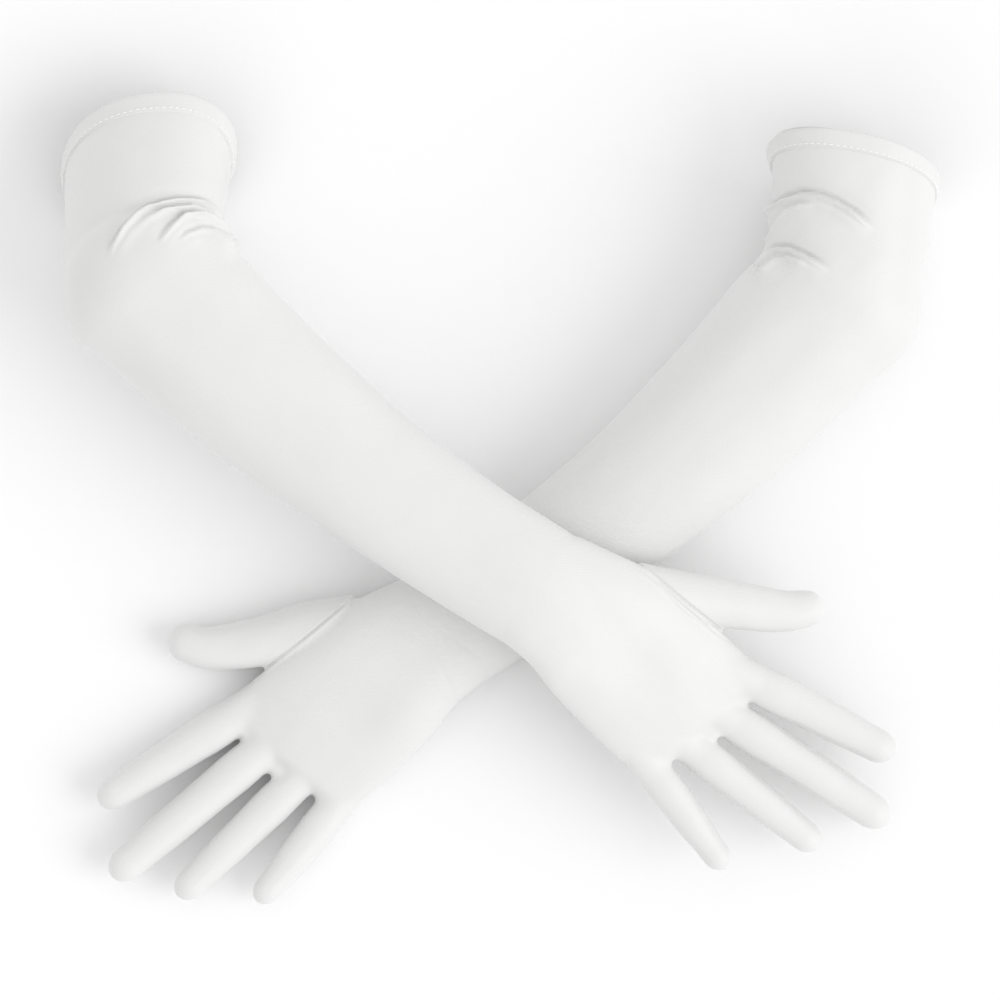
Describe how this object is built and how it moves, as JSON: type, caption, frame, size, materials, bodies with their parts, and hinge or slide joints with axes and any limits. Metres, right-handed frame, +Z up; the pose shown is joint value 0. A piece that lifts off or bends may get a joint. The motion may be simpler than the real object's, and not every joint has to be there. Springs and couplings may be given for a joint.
{
  "type": "opera gloves",
  "caption": "Pair of long satin opera gloves reaching above the elbow, filled as if worn and lying crossed at the wrists, palms up.",
  "frame": {"origin": "on the surface the gloves lie on, under the middle of the pair's outline", "axes": "+Z up, out of the palms; +X from the left glove's hem side to the right glove's; +Y from the fingertips to the hems"},
  "size_m": [0.4404, 0.407, 0.1043],
  "materials": {
    "glove_cloth": "white stretch satin knit, soft sheen",
    "hem_cloth": "white stretch satin knit, turned double",
    "hem_thread": "white polyester sewing thread"
  },
  "bodies": {
    "right_upper_sleeve": {"right_upper_sleeve_palm_panel": "glove_cloth", "right_upper_sleeve_back_panel": "glove_cloth", "right_hem_band": "hem_cloth", "right_hem_stitching": "hem_thread"},
    "right_forearm": {"right_forearm_palm_panel": "glove_cloth", "right_forearm_back_panel": "glove_cloth"},
    "right_hand": {"right_hand_palm_panel": "glove_cloth", "right_hand_back_panel": "glove_cloth"},
    "right_index": {"right_index_palm_panel": "glove_cloth", "right_index_back_panel": "glove_cloth", "right_index_strip_beside_middle": "glove_cloth"},
    "right_middle": {"right_middle_palm_panel": "glove_cloth", "right_middle_back_panel": "glove_cloth", "right_middle_strip_beside_index": "glove_cloth", "right_middle_strip_beside_ring": "glove_cloth"},
    "right_ring": {"right_ring_palm_panel": "glove_cloth", "right_ring_back_panel": "glove_cloth", "right_ring_strip_beside_middle": "glove_cloth", "right_ring_strip_beside_little": "glove_cloth"},
    "right_little": {"right_little_palm_panel": "glove_cloth", "right_little_back_panel": "glove_cloth", "right_little_strip_beside_ring": "glove_cloth"},
    "right_thumb": {"right_thumb": "glove_cloth"},
    "left_upper_sleeve": {"left_upper_sleeve_palm_panel": "glove_cloth", "left_upper_sleeve_back_panel": "glove_cloth", "left_hem_band": "hem_cloth", "left_hem_stitching": "hem_thread"},
    "left_forearm": {"left_forearm_palm_panel": "glove_cloth", "left_forearm_back_panel": "glove_cloth"},
    "left_hand": {"left_hand_palm_panel": "glove_cloth", "left_hand_back_panel": "glove_cloth"},
    "left_index": {"left_index_palm_panel": "glove_cloth", "left_index_back_panel": "glove_cloth", "left_index_strip_beside_middle": "glove_cloth"},
    "left_middle": {"left_middle_palm_panel": "glove_cloth", "left_middle_back_panel": "glove_cloth", "left_middle_strip_beside_index": "glove_cloth", "left_middle_strip_beside_ring": "glove_cloth"},
    "left_ring": {"left_ring_palm_panel": "glove_cloth", "left_ring_back_panel": "glove_cloth", "left_ring_strip_beside_middle": "glove_cloth", "left_ring_strip_beside_little": "glove_cloth"},
    "left_little": {"left_little_palm_panel": "glove_cloth", "left_little_back_panel": "glove_cloth", "left_little_strip_beside_ring": "glove_cloth"},
    "left_thumb": {"left_thumb": "glove_cloth"}
  },
  "joints": [
    {"name": "left_glove_lift", "type": "slide", "parent": "right_forearm", "child": "left_forearm", "axis": [0, 0, 1], "range_m": [0, 0.15]},
    {"name": "right_elbow", "type": "hinge", "parent": "right_forearm", "child": "right_upper_sleeve", "pos_m": [0.16848, 0.10458, 0.04029], "axis": [0, 0, 1], "range_deg": [-40, 30]},
    {"name": "right_wrist", "type": "hinge", "parent": "right_forearm", "child": "right_hand", "pos_m": [-0.0255, -0.06405, 0.02029], "axis": [0, 0, -1], "range_deg": [-12, 12]},
    {"name": "right_index_curl", "type": "hinge", "parent": "right_hand", "child": "right_index", "pos_m": [-0.13568, -0.11054, 0.01109], "axis": [-0.5373, 0.8434, 0], "range_deg": [0, 60]},
    {"name": "right_middle_curl", "type": "hinge", "parent": "right_hand", "child": "right_middle", "pos_m": [-0.12384, -0.12925, 0.01129], "axis": [-0.6441, 0.7649, 0], "range_deg": [0, 60]},
    {"name": "right_ring_curl", "type": "hinge", "parent": "right_hand", "child": "right_ring", "pos_m": [-0.10489, -0.14404, 0.01089], "axis": [-0.6947, 0.7193, 0], "range_deg": [0, 60]},
    {"name": "right_little_curl", "type": "hinge", "parent": "right_hand", "child": "right_little", "pos_m": [-0.08473, -0.15555, 0.00989], "axis": [-0.7771, 0.6293, 0], "range_deg": [0, 60]},
    {"name": "right_thumb_curl", "type": "hinge", "parent": "right_hand", "child": "right_thumb", "pos_m": [-0.09827, -0.0693, 0.01379], "axis": [0.7793, 0.6266, 0], "range_deg": [0, 45]},
    {"name": "left_elbow", "type": "hinge", "parent": "left_forearm", "child": "left_upper_sleeve", "pos_m": [-0.17455, 0.10658, 0.06629], "axis": [0, 0, -1], "range_deg": [-48, 30]},
    {"name": "left_wrist", "type": "hinge", "parent": "left_forearm", "child": "left_hand", "pos_m": [0.0185, -0.04424, 0.06979], "axis": [0, 0, 1], "range_deg": [-12, 8]},
    {"name": "left_index_curl", "type": "hinge", "parent": "left_hand", "child": "left_index", "pos_m": [0.1281, -0.09209, 0.03619], "axis": [-0.4602, -0.8878, 0], "range_deg": [0, 60]},
    {"name": "left_middle_curl", "type": "hinge", "parent": "left_hand", "child": "left_middle", "pos_m": [0.11603, -0.11065, 0.03546], "axis": [-0.5476, -0.8368, 0], "range_deg": [0, 60]},
    {"name": "left_ring_curl", "type": "hinge", "parent": "left_hand", "child": "left_ring", "pos_m": [0.09691, -0.12521, 0.03707], "axis": [-0.6184, -0.7859, 0], "range_deg": [0, 60]},
    {"name": "left_little_curl", "type": "hinge", "parent": "left_hand", "child": "left_little", "pos_m": [0.07661, -0.13647, 0.03955], "axis": [-0.8007, -0.599, 0], "range_deg": [0, 60]},
    {"name": "left_thumb_curl", "type": "hinge", "parent": "left_hand", "child": "left_thumb", "pos_m": [0.09119, -0.05039, 0.05226], "axis": [0.7716, -0.6361, 0], "range_deg": [0, 45]}
  ]
}
